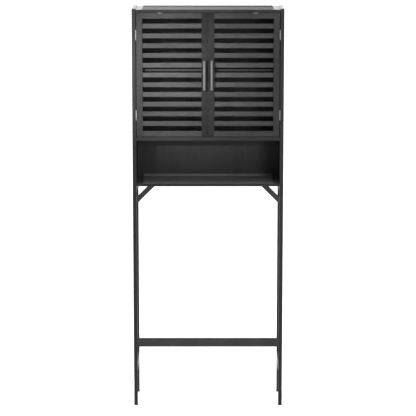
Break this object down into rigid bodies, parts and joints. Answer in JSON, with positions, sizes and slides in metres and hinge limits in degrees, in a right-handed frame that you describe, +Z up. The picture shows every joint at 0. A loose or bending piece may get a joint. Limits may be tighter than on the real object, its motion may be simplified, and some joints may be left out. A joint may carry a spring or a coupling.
{
  "type": "over the toilet storage rack",
  "caption": "Tall narrow black steel-tube rack that stands over a toilet, with a slatted two-door cabinet at the top and an open shelf under it.",
  "frame": {"origin": "on the floor, at the centre of the bounding box in X and Y; the box runs from the front of the handles to the back of the back legs", "axes": "+Z up, the doors face -Y, +X to the right seen from the front"},
  "size_m": [0.635, 0.258, 1.7],
  "materials": {
    "black_steel": "satin black powder coat",
    "black_plastic": "matt black moulded plastic",
    "black_screw": "black zinc",
    "black_panel": "black wood-grain laminate",
    "black_board": "black wood-grain laminate",
    "door_wood": "black-stained wood with open grain, satin lacquer",
    "brushed_handle": "brushed gunmetal",
    "bright_steel": "nickel-plated steel"
  },
  "bodies": {
    "frame": {"lower_front_leg_left": "black_steel", "lower_front_leg_right": "black_steel", "lower_back_leg_left": "black_steel", "lower_back_leg_right": "black_steel", "upper_front_leg_left": "black_steel", "upper_front_leg_right": "black_steel", "upper_back_leg_left": "black_steel", "upper_back_leg_right": "black_steel", "foot_caps": "black_plastic", "leg_top_caps": "black_plastic", "leg_connectors": "black_plastic", "top_side_tubes": "black_steel", "shelf_side_tubes": "black_steel", "middle_side_rails": "black_steel", "lower_side_rails": "black_steel", "back_crossbar": "black_steel", "brace_left": "black_steel", "brace_right": "black_steel", "frame_screws": "black_screw", "top_front_rail": "black_steel", "top_back_rail": "black_steel", "top_side_flanges": "black_steel", "top_board": "black_board", "shelf_front_rail": "black_steel", "shelf_back_rail": "black_steel", "shelf_side_flanges": "black_steel", "shelf_board": "black_board", "board_screws": "black_screw", "side_panel_left": "black_panel", "side_panel_right": "black_panel", "back_panel": "black_panel", "cabinet_floor": "black_board", "cabinet_floor_screws": "black_screw", "inner_shelf": "black_board", "shelf_pins": "bright_steel", "magnetic_catches": "black_plastic", "catch_screws": "bright_steel", "hinge_frame_leaves": "bright_steel", "hinge_pins": "bright_steel", "hinge_frame_screws": "bright_steel"},
    "left_door": {"left_hinge_stile": "door_wood", "left_free_stile": "door_wood", "left_door_rails": "door_wood", "left_slats": "door_wood", "left_door_leaves": "bright_steel", "left_leaf_screws": "bright_steel", "left_handle": "brushed_handle", "left_handle_screws": "bright_steel", "left_strike_clip": "bright_steel"},
    "right_door": {"right_hinge_stile": "door_wood", "right_free_stile": "door_wood", "right_door_rails": "door_wood", "right_slats": "door_wood", "right_door_leaves": "bright_steel", "right_leaf_screws": "bright_steel", "right_handle": "brushed_handle", "right_handle_screws": "bright_steel", "right_strike_clip": "bright_steel"}
  },
  "joints": [
    {"name": "left_door_hinge", "type": "hinge", "parent": "frame", "child": "left_door", "pos_m": [-0.3003, -0.1032, 1.4245], "axis": [0, 0, -1], "range_deg": [0, 170]},
    {"name": "right_door_hinge", "type": "hinge", "parent": "frame", "child": "right_door", "pos_m": [0.3003, -0.1032, 1.4245], "axis": [0, 0, 1], "range_deg": [0, 170]}
  ]
}
